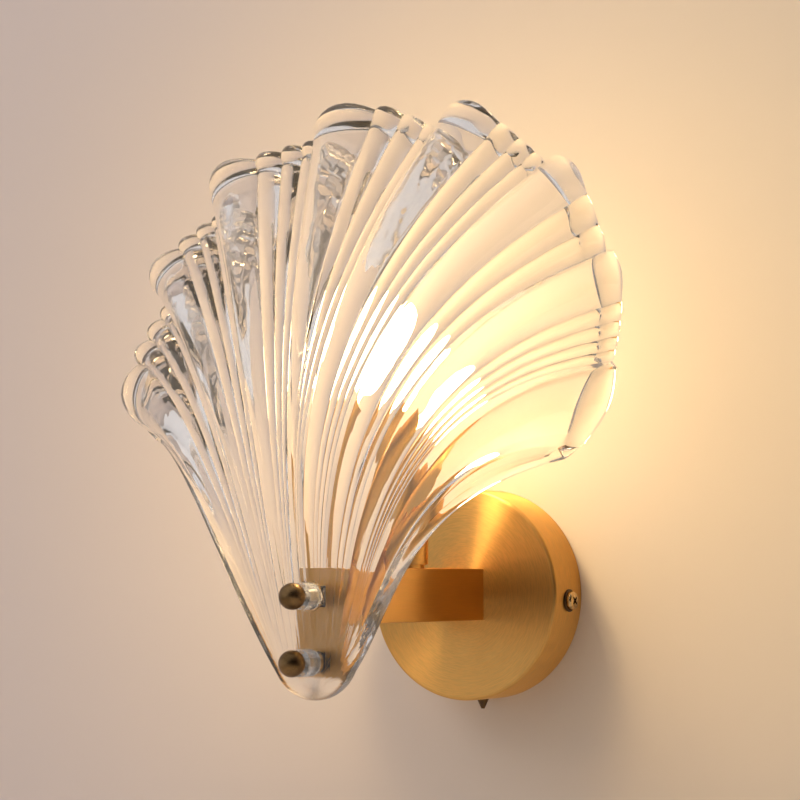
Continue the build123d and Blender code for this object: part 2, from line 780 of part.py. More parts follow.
# ---------------------------------------------------------------- bulb
bulb_axis = Axis((0, holder_y, 0), (0, 0, 1))
neck_turn = degrees(asin(bulb_flare_r / bulb_globe_r))
with BuildPart() as bulb_globe:
    with BuildSketch(facing(-holder_y)):
        with BuildLine():
            outer = CenterArc((0, bulb_centre), bulb_globe_r, 90, neck_turn - 180)
            outer_neck = Spline(outer @ 1, (bulb_neck_r, cap_top), tangents=(outer % 1, (0, -1)))
            inner = CenterArc((0, bulb_centre), bulb_globe_r - bulb_wall, 90, neck_turn - 180)
            inner_neck = Spline(inner @ 1, (bulb_neck_r - bulb_wall, cap_top), tangents=(inner % 1, (0, -1)))
            Polyline(
                outer_neck @ 1,
                (bulb_neck_r, cap_top - bulb_neck_in_cap),
                (bulb_neck_r - bulb_wall, cap_top - bulb_neck_in_cap),
                inner_neck @ 1,
            )
            Line(inner @ 0, outer @ 0)
        make_face()
    revolve(axis=bulb_axis)
bulb_globe.part.label = "bulb_globe"

with BuildPart() as bulb_cap:
    with BuildSketch(level_plane(cap_low)):
        Circle(bulb_cap_r)
    extrude(amount=bulb_cap_h)
    with BuildSketch(level_plane(cap_low + bulb_cap_wall)):
        Circle(bulb_neck_r + bulb_fit)
    extrude(amount=bulb_cap_h, mode=Mode.SUBTRACT)
    with BuildSketch(facing(-holder_y)):
        for turn in range(bulb_threads):
            with Locations((bulb_cap_r, cap_low + first_thread_up + turn * bulb_thread_pitch)):
                Circle(bulb_thread_depth)
    revolve(axis=bulb_axis, mode=Mode.SUBTRACT)
bulb_cap.part.label = "bulb_cap"

with BuildPart() as bulb_insulator:
    with BuildSketch(level_plane(cap_low - bulb_insulator_h)):
        Circle(bulb_insulator_r)
    with BuildSketch(level_plane(cap_low)):
        Circle(bulb_neck_r)
    loft()
bulb_insulator.part.label = "bulb_insulator"

with BuildPart() as bulb_contact:
    with BuildSketch(level_plane(bulb_tip)):
        Circle(bulb_tip_r)
    extrude(amount=bulb_tip_h)
    fillet(bulb_contact.edges().sort_by(Axis.Z)[0], bulb_tip_h / 3)
bulb_contact.part.label = "bulb_contact"

stem_low = cap_top - bulb_neck_in_cap
stem_high = cap_top + bulb_stem_h
with BuildPart() as bulb_stem:
    with BuildSketch(level_plane(stem_low)):
        Circle(bulb_neck_r - bulb_wall - bulb_fit)
    with BuildSketch(level_plane(cap_top)):
        Circle(bulb_stem_r)
    loft()
    with BuildSketch(level_plane(cap_top)):
        Circle(bulb_stem_r)
    extrude(amount=bulb_stem_h)
    fillet(bulb_stem.edges().sort_by(Axis.Z)[-1], bulb_stem_r / 2)
    with BuildSketch(level_plane(stem_high - filament_sink)):
        with Locations((-bulb_stem_r / 2, 0), (bulb_stem_r / 2, 0)):
            Circle(filament_r)
    extrude(amount=filament_sink, mode=Mode.SUBTRACT)
bulb_stem.part.label = "bulb_stem"

foot_left = (-bulb_stem_r / 2, holder_y, stem_high - filament_sink)
foot_right = (bulb_stem_r / 2, holder_y, stem_high - filament_sink)
with BuildPart() as bulb_filament:
    with BuildLine() as filament_line:
        FilletPolyline(
            foot_left,
            (-bulb_stem_r / 2, holder_y, stem_high + filament_ring_r / 2),
            (-filament_ring_r, holder_y, stem_high + filament_ring_r),
            (filament_ring_r, holder_y, stem_high + filament_ring_r),
            (bulb_stem_r / 2, holder_y, stem_high + filament_ring_r / 2),
            foot_right,
            radius=filament_bend_r,
        )
    with BuildSketch(Plane(foot_left, z_dir=(0, 0, 1))):
        Circle(filament_r)
    sweep(path=filament_line.wires()[0])
bulb_filament.part.label = "bulb_filament"

# ---------------------------------------------------------------- terminal block
pole_places = [(-pole_x, block_middle), (pole_x, block_middle)]
with BuildPart() as terminal_block:
    with BuildSketch(facing(plate_t)):
        with Locations((0, block_middle)):
            Rectangle(block_w, block_h)
        fillet(vertices(), block_edge_r)
    extrude(amount=block_d)
    with BuildSketch(Plane((0, -pole_depth, block_up))):
        with Locations((-pole_x, 0), (pole_x, 0)):
            Circle(pole_r)
    extrude(amount=block_h, mode=Mode.SUBTRACT)
    with BuildSketch(facing(pole_depth)):
        with Locations(*pole_places):
            Circle(pole_screw_r + screw_hole_gap)
    extrude(amount=block_d / 2, mode=Mode.SUBTRACT)
    with BuildSketch(facing(plate_t)):
        with Locations((0, block_middle)):
            Circle(block_screw_r)
    extrude(amount=block_d, mode=Mode.SUBTRACT)
terminal_block.part.label = "terminal_block"

tubes_list = []
pole_screws_list = []
for x, z in pole_places:
    with BuildPart() as tube:
        with BuildSketch(Plane((x, -pole_depth, block_up + pole_inset))):
            Circle(pole_r)
            Circle(pole_bore_r, mode=Mode.SUBTRACT)
        extrude(amount=block_h - 2 * pole_inset)
        with BuildSketch(facing(pole_depth + pole_bore_r)):
            with Locations((x, z)):
                Circle(pole_screw_r)
        extrude(amount=pole_r, mode=Mode.SUBTRACT)
    tubes_list.append(tube.part)
    with BuildPart() as pole_screw:
        with BuildSketch(facing(pole_depth + pole_bore_r)):
            with Locations((x, z)):
                Circle(pole_screw_r)
        extrude(amount=pole_screw_h)
        with BuildSketch(facing(pole_depth + pole_bore_r + pole_screw_h)):
            with Locations((x, z)):
                Rectangle(2 * pole_screw_r, slot_w)
        extrude(amount=-slot_depth, mode=Mode.SUBTRACT)
    pole_screws_list.append(pole_screw.part)
terminal_tubes = Compound(tubes_list, label="terminal_tubes")
terminal_screws = Compound(pole_screws_list, label="terminal_screws")

with BuildPart() as terminal_block_screw:
    with BuildSketch(facing(0)):
        with Locations((0, block_middle)):
            Circle(block_screw_r)
    extrude(amount=plate_t + block_d)
    with BuildSketch(facing(plate_t + block_d)):
        with Locations((0, block_middle)):
            Circle(block_head_r)
    extrude(amount=block_head_h)
    with BuildSketch(facing(plate_t + block_d + block_head_h)):
        with Locations((0, block_middle)):
            Rectangle(2 * block_head_r, slot_w)
    extrude(amount=-slot_depth, mode=Mode.SUBTRACT)
terminal_block_screw.part.label = "terminal_block_screw"

# ---------------------------------------------------------------- wiring
lead_parts = []
lead_step_y = arm_start + block_len + lead_step_from
for name, side in (("line_lead", -1), ("neutral_lead", 1)):
    run_x = side * lead_gap
    route = [
        (side * pole_x, -pole_depth, block_up + pole_inset),
        (side * pole_x, -pole_depth, block_up - lead_drop),
        (run_x, -pole_depth, 0),
        (run_x, -lead_step_y, 0),
        (run_x, -lead_step_y - lead_step_len, -lead_low),
        (run_x, holder_y, -lead_low),
        (run_x, holder_y, chamber_floor),
        (side * terminal_x, holder_y, web_low - terminal_len - lead_rise),
        (side * terminal_x, holder_y, web_low - terminal_len),
    ]
    bends = [lead_bend_r, lead_bend_r, lead_sweep_r, lead_sweep_r, lead_bend_r, lead_bend_r, lead_bend_r]
    with BuildPart() as lead:
        with BuildLine() as lead_line:
            FilletPolyline(*route, radius=bends)
        with BuildSketch(Plane(route[0], z_dir=(0, 0, -1))):
            Circle(lead_r)
        sweep(path=lead_line.wires()[0])
    lead.part.label = name
    lead_parts.append(lead.part)
    length = lead_line.wires()[0].length
    print(name, "length", round(length, 1), "radii", bends,
          "volume share", round(lead.part.volume / (pi * lead_r**2 * length), 4))

with BuildPart() as earth_lug:
    with BuildSketch(facing(plate_t)):
        with Locations((earth_screw_x, earth_screw_z)):
            Circle(earth_lug_r)
        with Locations((earth_screw_x, earth_screw_z + earth_lug_r)):
            Rectangle(earth_lug_r, 2 * earth_lug_r)
        with Locations((earth_screw_x, earth_screw_z)):
            Circle(earth_screw_r + nipple_fit, mode=Mode.SUBTRACT)
    extrude(amount=earth_lug_t)
earth_lug.part.label = "earth_lug"

with BuildPart() as earth_screw:
    with BuildSketch(facing(0)):
        with Locations((earth_screw_x, earth_screw_z)):
            Circle(earth_screw_r)
    extrude(amount=plate_t + earth_lug_t)
    with BuildSketch(facing(plate_t + earth_lug_t)):
        with Locations((earth_screw_x, earth_screw_z)):
            Circle(earth_head_r)
    extrude(amount=earth_head_h)
    with BuildSketch(facing(plate_t + earth_lug_t + earth_head_h)):
        with Locations((earth_screw_x, earth_screw_z)):
            Rectangle(2 * earth_head_r, slot_w)
    extrude(amount=-slot_depth, mode=Mode.SUBTRACT)
earth_screw.part.label = "earth_screw"

earth_back_y = -plate_t - earth_lug_t - earth_lead_r
earth_front_y = -canopy_inside + washer_t + earth_lead_r
earth_route = [
    (earth_screw_x, earth_back_y, earth_screw_z + earth_lead_up),
    (earth_screw_x, earth_back_y, 0),
    (earth_screw_x, earth_front_y, 0),
    (earth_ear_reach - earth_lead_on_ear, earth_front_y, 0),
]
with BuildPart() as earth_lead:
    with BuildLine() as earth_line:
        FilletPolyline(*earth_route, radius=earth_bend_r)
    with BuildSketch(Plane(earth_route[0], z_dir=(0, 0, 1))):
        Circle(earth_lead_r)
    sweep(path=earth_line.wires()[0])
earth_lead.part.label = "earth_lead"
print("earth_lead length", round(earth_line.wires()[0].length, 1))

# ---------------------------------------------------------------- write
single_parts = [
    piece.part
    for piece in (mounting_plate, canopy, bottom_screw, arm, arm_end_block, front_plate, arm_nipple,
                  arm_nipple_washer, arm_nipple_nut, glass_shell, holder_washer, holder_nipple, holder_nut,
                  holder_sleeve, holder_body, holder_screw_shell, holder_contact, bulb_globe, bulb_cap,
                  bulb_insulator, bulb_contact, bulb_stem, bulb_filament, terminal_block,
                  terminal_block_screw, earth_lug, earth_screw, earth_lead)
]
groups = [side_screws, side_screw_washers, glass_studs, rear_pads, hole_sleeves, holder_terminals,
          holder_clamp_screws, terminal_tubes, terminal_screws]
for shape in single_parts + fixing_parts + lead_parts + groups:
    export_step(shape, f"parts/{shape.label}.step")
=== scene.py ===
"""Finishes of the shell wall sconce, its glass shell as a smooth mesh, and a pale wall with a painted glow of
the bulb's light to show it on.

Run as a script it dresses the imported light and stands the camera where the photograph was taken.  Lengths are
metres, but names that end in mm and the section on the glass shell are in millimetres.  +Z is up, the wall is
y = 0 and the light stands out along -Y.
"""

from math import asin, copysign, cos, pi, radians, sin

import bpy
from bpy.props import FloatProperty, FloatVectorProperty, IntProperty, PointerProperty
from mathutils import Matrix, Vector


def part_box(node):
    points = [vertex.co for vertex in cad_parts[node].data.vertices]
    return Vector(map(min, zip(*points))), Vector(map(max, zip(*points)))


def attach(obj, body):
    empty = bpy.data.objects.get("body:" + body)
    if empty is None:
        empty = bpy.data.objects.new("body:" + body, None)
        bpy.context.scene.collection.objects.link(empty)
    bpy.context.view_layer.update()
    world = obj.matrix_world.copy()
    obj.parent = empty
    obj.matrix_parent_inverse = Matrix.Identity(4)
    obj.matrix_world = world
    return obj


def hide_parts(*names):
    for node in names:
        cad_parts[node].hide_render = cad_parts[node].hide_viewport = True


bl_info = {
    "name": "Shell wall sconce",
    "version": (1, 0, 0),
    "blender": (4, 5, 0),
    "location": "View3D > Sidebar > Sconce",
    "description": "Finishes and stage of a brass wall light with a fluted glass shell",
    "category": "Object",
}

MM = 0.001
Y, Z = 1, 2  # the places of these two axes in a point
ALONG_Y = (pi / 2, 0, 0)  # the turn that lays an upright axis along Y

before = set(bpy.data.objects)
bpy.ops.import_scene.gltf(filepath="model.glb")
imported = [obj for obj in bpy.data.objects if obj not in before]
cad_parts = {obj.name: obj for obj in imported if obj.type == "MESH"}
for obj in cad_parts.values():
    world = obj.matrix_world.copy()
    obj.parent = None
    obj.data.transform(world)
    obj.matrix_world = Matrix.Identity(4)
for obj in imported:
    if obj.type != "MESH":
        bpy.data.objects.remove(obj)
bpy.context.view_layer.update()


# ---------------------------------------------------------------- sizes and colours
def colour(name, description, value):
    """A colour that a user may change."""
    return FloatVectorProperty(name=name, description=description, subtype="COLOR", size=3,
                               min=0.0, max=1.0, default=value)


class SCONCE_PG_glass(bpy.types.PropertyGroup):
    """Sizes of the fluted glass shell, in millimetres, and how it bends light."""

    thickness_mm: FloatProperty(name="Thickness", description="Thickness of the glass at its foot, in mm",
                                default=7.0, min=3.0, max=12.0)
    rim_thickness_mm: FloatProperty(name="Rim thickness", description="Thickness at the rim, in mm",
                                    default=6.0, min=3.0, max=12.0)
    depth_tint: colour("Depth tint", "Colour that light takes in the depth of the glass", (0.72, 0.62, 0.52))
    depth: FloatProperty(name="Depth", description="How fast the glass tints, per metre",
                         default=14.0, min=0.0)
    index: FloatProperty(name="Index", description="Index of refraction of the glass",
                         default=1.49, min=1.3, max=1.9)
    across: IntProperty(name="Steps across", description="Mesh steps across one wide flute",
                        default=12, min=4, max=24)
    along: IntProperty(name="Steps along", description="Mesh steps from foot to rim",
                       default=64, min=16, max=128)
    ripple_mm: FloatProperty(name="Ripple", description="Height of the ripple left by the mould, in mm",
                             default=0.6, min=0.0, max=2.0)


class SCONCE_PG_metal(bpy.types.PropertyGroup):
    """Colours of the metal finishes."""

    satin: colour("Satin brass", "Brushed brass of canopy, arm, front plate and sleeve", (0.86, 0.49, 0.145))
    polished: colour("Polished brass", "Rim screws", (0.80, 0.55, 0.25))
    aged: colour("Aged brass", "Ball nuts", (0.14, 0.085, 0.035))
    worn: colour("Worn brass", "Second shade of the aged and the polished brass", (0.26, 0.16, 0.07))
    bronze: colour("Dark bronze", "Bottom screw and washers", (0.10, 0.06, 0.035))
    turned: colour("Turned brass", "Nipples, nuts and studs", (0.72, 0.52, 0.26))
    zinc: colour("Zinc", "Zinc plated steel", (0.60, 0.61, 0.60))
    nickel: colour("Nickel", "Cap of the bulb", (0.70, 0.69, 0.65))


class SCONCE_PG_light(bpy.types.PropertyGroup):
    """The bulb's light, the room's light and the colours of the stage."""

    lamp: colour("Lamp", "Colour of the lit globe", (1.0, 0.76, 0.42))
    lamp_strength: FloatProperty(name="Lamp strength", description="Brightness of the lit globe",
                                 default=20.0, min=0.0)
    lamp_power: FloatProperty(name="Lamp power", description="Light that the bulb throws on the wall",
                              default=11.0, min=0.0, unit="POWER")
    wall: colour("Wall", "Plaster behind the light", (0.74, 0.64, 0.60))
    # Painted pool of the bulb's light: the wall is blended to this warmer colour near the glass
    painted_glow: colour("Glow", "Warm plaster beside the lit glass", (0.87, 0.73, 0.55))
    floor: colour("Floor", "Floor under the light", (0.82, 0.78, 0.72))
    room: colour("Room", "Pale side of the room", (0.78, 0.76, 0.78))
    dim: colour("Dim side", "Dim side of the room, to the right", (0.025, 0.018, 0.015))
    room_strength: FloatProperty(name="Room strength", description="Light of the room",
                                 default=0.92, min=0.0)
    key_power: FloatProperty(name="Key power", description="Power of the large soft key lamp",
                             default=5.0, min=0.0, unit="POWER")
    floor_depth: FloatProperty(name="Floor depth", description="Depth of the floor below the light",
                               default=0.6, min=0.1, unit="LENGTH")


# ---------------------------------------------------------------- mesh helpers
def only(piece):
    """Selects one object alone and makes it active."""
    bpy.ops.object.select_all(action="DESELECT")
    piece.select_set(True)
    bpy.context.view_layer.objects.active = piece


def in_edit_mode(piece, *steps):
    """Runs edit-mode operators on a whole mesh."""
    only(piece)
    bpy.ops.object.mode_set(mode="EDIT")
    bpy.ops.mesh.select_all(action="SELECT")
    for step in steps:
        step()
    bpy.ops.object.mode_set(mode="OBJECT")


def smooth(piece, angle):
    """Smooth shading with an edge where faces meet at more than an angle, in degrees."""
    only(piece)
    bpy.ops.object.shade_smooth_by_angle(angle=radians(angle))


def apply_modifiers(piece):
    """Applies each modifier in turn."""
    only(piece)
    for modifier in list(piece.modifiers):
        bpy.ops.object.modifier_apply(modifier=modifier.name)


def to_origin(piece):
    """Puts a piece's place into its mesh, so that its object stands at the origin."""
    only(piece)
    bpy.ops.object.transform_apply(location=True, rotation=True, scale=True)


def net_piece(name, rows):
    """A mesh from rows of points: a grid whose corners are moved onto them."""
    high, wide = len(rows), len(rows[0])
    bpy.ops.object.select_all(action="DESELECT")
    bpy.ops.mesh.primitive_grid_add(x_subdivisions=wide - 1, y_subdivisions=high - 1, size=1)
    piece = bpy.context.object
    piece.name = name
    flat = [component for row in rows for point in row for component in point]
    piece.data.vertices.foreach_set("co", flat)
    piece.data.update()
    return piece


def join(pieces):
    """Joins several objects into the first one."""
    bpy.ops.object.select_all(action="DESELECT")
    for piece in pieces:
        piece.select_set(True)
    bpy.context.view_layer.objects.active = pieces[0]
    bpy.ops.object.join()
    return pieces[0]


# ---------------------------------------------------------------- node helpers
class Tree:
    """The nodes of a material, a lamp or the world: short calls that add and link them."""

    def __init__(self, owner):
        owner.use_nodes = True
        self.nodes = owner.node_tree.nodes
        self.links = owner.node_tree.links

    def set(self, node, inputs):
        """Links a socket, or sets a value, to each named input; a colour has three parts."""
        for key, value in inputs.items():
            socket = node.inputs[key]
            if isinstance(value, bpy.types.NodeSocket):
                self.links.new(value, socket)
            elif socket.type == "RGBA":
                socket.default_value = (*value, 1.0)
            else:
                socket.default_value = value

    def add(self, kind, inputs=None, **settings):
        """Adds a node with its settings and inputs."""
        node = self.nodes.new(kind)
        for key, value in settings.items():
            setattr(node, key, value)
        self.set(node, inputs or {})
        return node

    def maths(self, operation, *values):
        """A number worked out from one or two others."""
        return self.add("ShaderNodeMath", dict(enumerate(values)), operation=operation).outputs[0]

    def weighed(self, first, second, share):
        """The mean of two values, of which the second has a share."""
        parts = self.maths("MULTIPLY", first, 1 - share), self.maths("MULTIPLY", second, share)
        return self.maths("ADD", *parts)

    def spread(self, value, low, high, start=0.3, end=0.7, curve="LINEAR"):
        """Maps a value from between start and end, which are the usual reach of noise, onto low to high."""
        inputs = {"Value": value, "From Min": start, "From Max": end, "To Min": low, "To Max": high}
        return self.add("ShaderNodeMapRange", inputs, interpolation_type=curve).outputs[0]

    def blend(self, share, first, second):
        """A colour between two others."""
        return self.add("ShaderNodeMix", {0: share, 6: first, 7: second}, data_type="RGBA").outputs[2]


class Finish(Tree):
    """A material, with the patterns that finishes are made of."""

    def __init__(self, name, inputs):
        self.material = bpy.data.materials.new(name)
        super().__init__(self.material)
        self.skin = self.nodes["Principled BSDF"]
        self.out = self.nodes["Material Output"]
        self.place = self.add("ShaderNodeTexCoord").outputs["Object"]
        self.set(self.skin, inputs)

    def moved(self, centre=(0, 0, 0), turn=(0, 0, 0), scale=(1, 1, 1)):
        """Object coordinates about another centre, turned and scaled."""
        start = self.add("ShaderNodeVectorMath", {0: self.place, 1: centre}, operation="SUBTRACT").outputs[0]
        return self.add("ShaderNodeMapping", {"Vector": start, "Rotation": turn, "Scale": scale}).outputs[0]

    def distance(self, point):
        """Distance from a point."""
        measure = {0: self.place, 1: point}
        return self.add("ShaderNodeVectorMath", measure, operation="DISTANCE").outputs["Value"]

    def noise(self, size, detail):
        """Noise from 0 to 1 with features of a size."""
        inputs = {"Vector": self.place, "Scale": 1 / size, "Detail": detail, "Roughness": 0.55}
        return self.add("ShaderNodeTexNoise", inputs).outputs["Fac"]

    def streaks(self, stretched):
        """Noise with one feature to each unit of stretched coordinates."""
        inputs = {"Vector": stretched, "Scale": 1.0, "Detail": 2.0}
        return self.add("ShaderNodeTexNoise", inputs).outputs["Fac"]

    def polar(self, centre, turn, per_radius, per_turn, per_depth):
        """Noise about an axis, with its features counted per metre out, per radian and per metre deep."""
        across, up, deep = self.add("ShaderNodeSeparateXYZ", {0: self.moved(centre, turn)}).outputs
        squares = [self.maths("MULTIPLY", part, part) for part in (across, up)]
        radius = self.maths("SQRT", self.maths("ADD", *squares))
        angle = self.maths("ARCTAN2", up, across)
        stretched = self.add("ShaderNodeCombineXYZ", {
            0: self.maths("MULTIPLY", radius, per_radius),
            1: self.maths("MULTIPLY", angle, per_turn),
            2: self.maths("MULTIPLY", deep, per_depth),
        })
        return self.streaks(stretched.outputs[0])

    def spun(self, centre, turn=(0, 0, 0), pitch=0.00045, per_turn=7.0):
        """Marks of spinning or turning: noise drawn out along circles round an axis."""
        return self.polar(centre, turn, 1 / pitch, per_turn, 1 / pitch)

    def drawn(self, axis, pitch=0.00045, length=0.012):
        """Marks of brushing: noise drawn out along one axis."""
        scale = [1 / pitch, 1 / pitch, 1 / pitch]
        scale[axis] = 1 / length
        return self.streaks(self.moved(scale=scale))

    def bump(self, height, depth, strength):
        """A bump of a depth."""
        inputs = {"Height": height, "Distance": depth, "Strength": strength}
        return self.add("ShaderNodeBump", inputs).outputs["Normal"]

    def see_through(self, share, tint=(1, 1, 1)):
        """Makes a share of the surface see-through, with a tint."""
        clear = self.add("ShaderNodeBsdfTransparent", {"Color": tint}).outputs[0]
        both = self.add("ShaderNodeMixShader", {0: share, 1: self.skin.outputs[0], 2: clear}).outputs[0]
        self.set(self.out, {"Surface": both})

    def let_lamps_through(self, tint=(1, 1, 1)):
        """Lets the light of lamps pass straight through, with a tint."""
        self.see_through(self.add("ShaderNodeLightPath").outputs["Is Shadow Ray"], tint)


# ---------------------------------------------------------------- finishes
SHADE_EDGE = (0.38, 0.62)  # between these levels of noise one shade turns into the other
GRAIN_FINENESS = 12  # how many times finer a finish's grain is than its patches
GRAIN_SWING = 0.06  # how far that grain changes the roughness
SMEAR_SWING = 0.02  # how far handling marks change it
MARKS_SWING = 0.4  # how far brush marks change it, as a share of their contrast
FROST_SWING = 0.02  # how far it changes over a piece of glass
GLASS_TINT = (1.0, 0.995, 0.985)
FAN_RIPPLE = (25.0, 15.0, 60.0)  # ripples per metre out, per radian round and per metre deep

# Colour, second colour, size of the patches and roughness
MOULDED = {
    "rubber_finish": ((0.03, 0.03, 0.03), (0.06, 0.055, 0.05), 0.004, 0.7),
    "ceramic_finish": ((0.86, 0.84, 0.79), (0.78, 0.75, 0.69), 0.003, 0.55),
    "nylon_finish": ((0.86, 0.86, 0.83), (0.80, 0.80, 0.77), 0.005, 0.42),
    "black_glass_finish": ((0.02, 0.02, 0.02), (0.045, 0.045, 0.05), 0.004, 0.12),
    "brown_finish": ((0.20, 0.09, 0.04), (0.26, 0.12, 0.05), 0.002, 0.5),
    "blue_finish": ((0.04, 0.14, 0.44), (0.06, 0.18, 0.52), 0.002, 0.5),
    "green_finish": ((0.12, 0.38, 0.08), (0.62, 0.58, 0.08), 0.003, 0.5),
}


def brushed(name, tint, marks_of, axis="Y", round_axis=True, roughness=0.42, anisotropic=0.95, contrast=0.15,
            depth=0.00006):
    """Brass with the marks that marks_of draws round or along an axis, faint handling marks and a tarnish."""
    finish = Finish(name, {
        "Metallic": 1.0,
        "Anisotropic": anisotropic,
        "Anisotropic Rotation": 0.25 if round_axis else 0.0,
    })
    marks = marks_of(finish)
    tarnish = finish.noise(0.025, detail=4.0)
    smears = finish.noise(0.007, detail=2.0)
    dark = [component * (1 - contrast) for component in tint]
    shade = finish.spread(finish.weighed(tarnish, marks, 0.75), 0.0, 1.0, *SHADE_EDGE)
    swing = contrast * MARKS_SWING
    grain = finish.maths("ADD", finish.spread(marks, -swing, swing),
                         finish.spread(smears, -SMEAR_SWING, SMEAR_SWING))
    finish.set(finish.skin, {
        "Base Color": finish.blend(shade, dark, tint),
        "Roughness": finish.maths("ADD", grain, roughness),
        "Normal": finish.bump(marks, depth, strength=0.5),
        "Tangent": finish.add("ShaderNodeTangent", direction_type="RADIAL", axis=axis).outputs[0],
    })
    return finish


def turned(name, tint, centre, turn=(0, 0, 0)):
    """Smoothly turned brass, with fine marks round an axis."""
    return brushed(name, tint, lambda finish: finish.spun(centre, turn, pitch=0.0006), roughness=0.25,
                   anisotropic=0.0)


def mottled(name, tint, second, size, roughness, metallic=1.0, depth=0.00002):
    """A finish in two shades, in soft patches of a size, with a fine grain."""
    finish = Finish(name, {"Metallic": metallic})
    patches = finish.noise(size, detail=5.0)
    grain = finish.noise(size / GRAIN_FINENESS, detail=2.0)
    finish.set(finish.skin, {
        "Base Color": finish.blend(finish.spread(patches, 0.0, 1.0, *SHADE_EDGE), tint, second),
        "Roughness": finish.maths("ADD", finish.spread(grain, -GRAIN_SWING, GRAIN_SWING), roughness),
        "Normal": finish.bump(grain, depth, strength=0.6),
    })
    return finish


def moulded(name):
    """Plastic, rubber, ceramic or black glass with a fine grain."""
    return mottled(name, *MOULDED[name], metallic=0.0, depth=0.00003)


def clear_glass(name, index, ripple, fan=None, clear=0.985, frost=0.0, shadow_tint=(0.93, 0.91, 0.88)):
    """Clear glass or plastic with a faint ripple, which may fan out from a point, and a frost if matt."""
    finish = Finish(name, {"Base Color": GLASS_TINT, "Transmission Weight": clear, "IOR": index})
    wide = finish.polar(fan, ALONG_Y, *FAN_RIPPLE) if fan else finish.noise(0.012, detail=2.0)
    fine = finish.noise(0.006, detail=1.0)
    finish.set(finish.skin, {
        "Roughness": finish.spread(fine, frost, frost + FROST_SWING),
        "Normal": finish.bump(finish.weighed(wide, fine, 0.1), ripple, strength=0.5),
    })
    finish.let_lamps_through(shadow_tint)
    return finish


def dress(finish, *names):
    """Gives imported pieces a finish."""
    for name in names:
        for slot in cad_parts[name].material_slots:
            slot.material = finish.material


def axis_of(name, axis):
    """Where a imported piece's own axis, which lies along Y or Z, meets the plane through the origin."""
    low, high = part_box(name)
    point = (low + high) / 2
    point[axis] = 0
    return point


# ---------------------------------------------------------------- glass shell, in millimetres and degrees
# A rib is a curve with four control points from the foot to the rim.  Its rim angle is counted from straight
# up to the right, and its level is the height of the step on which it stands.  Flutes lie between the ribs.

# The rim is an oval that leans back
RIM_HALF_W = 122.5
RIM_HALF_H = 106.9
RIM_CENTRE = Vector((1.5, -116.0, 107.3))
RIM_LEAN = 0.191  # backward lean, per unit of height
RIM_SIDE_BACK = 4.6  # how far its sides stand back
STEP_OUT = 4.1  # how far out and how far forward each level lies
STEP_FRONT = 4.5

# The foot is a round arc, from which the ribs spread
FULL_ANGLE = 110.0  # rim angle at which a rib has its full side sweep
FOOT_R = 18.1
FOOT_Z = -40.5  # its lowest point
FOOT_ANGLE = 60.0  # where on the arc a rib with full side sweep starts
FOOT_LEAN = 30.7  # that rib's sideways lean at the foot and at the rim
TIP_LEAN = 89.0
FOOT_LEAN_POWER = 1.6  # how fast the lean grows with the rim angle
TIP_LEAN_POWER = 0.825
FOOT_PULL = 0.295  # how far the inner control points lie from a rib's ends, as a share of its length
TIP_PULL_MID = 0.476
TIP_PULL_SIDE = 0.389
MID_SHIFT_LOW = -9.2  # how far the inner control points of the middle ribs are moved sideways
MID_SHIFT_HIGH = -7.3
SWEEP_START = -0.5  # depth of the third control point, as a share of the way from foot to rim
FORWARD = Vector((0, -1, 0))
GLASS_BACK = 144.0  # from the wall to the back of the foot

# Groups of flutes: each starts high, with a wide flute, falls over its narrow ones and ends at a step
GROUP_ANGLES = (-105.2, -73.1, -47.3, -17.5, 14.9, 43.3, 70.1, 96.2, 114.8)
GROUP_FLUTES = (4, 4, 4, 4, 4, 3, 5, 1)
GROUP_RISE = (-1.6, 1.5, 5.0, 1.0, 2.0, 2.0, 0.0, 0.0)  # how much further out the rim is on a high level
GROUP_DROP = (1.0, 0.0, 0.0, 6.0, 0.0, 0.0, 0.0, 0.0)  # how much further in it is on a low one
WIDE_SHARE = 0.48  # the wide flute's share of its group's angle
NARROW_RATIO = 0.86  # width of each narrow flute, as a share of the one before
STEP_ANGLE = 1.6
FIRST_LEVEL = 0.0  # level at which the first group starts
START_LEVEL = 0.45  # level at which each other group starts
CREST_LEVEL = 1.0  # level of a wide flute's crest
WIDE_END_LEVEL = 0.33  # level of a wide flute's end
GROUP_END_LEVEL = -1.0  # level at which a group ends
LAST_LEVEL = -0.4  # level at which the last group ends
EDGE_ANGLES = (-109.5, 119.5)  # rim angles of the outermost ribs, beyond the plain strips at both sides
EDGE_LEVELS = (-1.0, -2.8)
EDGE_LEANS = (-80.0, 72.0)

# Form of the flutes and of the rounded edges
BULGES = {"wide": 0.13, "narrow": 0.31, "last": 0.13}  # height of a crest, as a share of the flute's width
BULGE_FADES = {  # the part of that height at each of a rib's control points
    "wide": (0.0, 1.2, 0.9, 1.0),
    "narrow": (0.0, 0.1, 0.9, 1.0),
    "last": (0.0, 0.6, 0.9, 1.0),
}
FULLNESS = 1.3  # how full a flute is in front: 2 is slender and 1 is full
EDGE_POWER = 3.2  # how square a rounded edge is: 2 is a circle and more is squarer
SIDE_REACH = 0.975  # how far the side edges' rounding reaches, as a share of the glass's thickness
FOOT_REACH = 0.5  # the same for the foot's rounding
BEAD_SHARE = 1.3  # thickness of the rim's bead, as a share of the rim's
RIM_REACH = 2.8  # how far the bead reaches beyond the ribs' ends

# The mesh: steps across each kind of strip, as a share of the wide flute's
STEPS_ACROSS = {"wide": 1.0, "narrow": 0.67, "last": 1.0, "step": 0.34, "edge": 0.67}
FEWEST_STEPS = 3
ROUND_STEPS = 14
MERGE_MM = 0.002
SMOOTH_ANGLE = 32

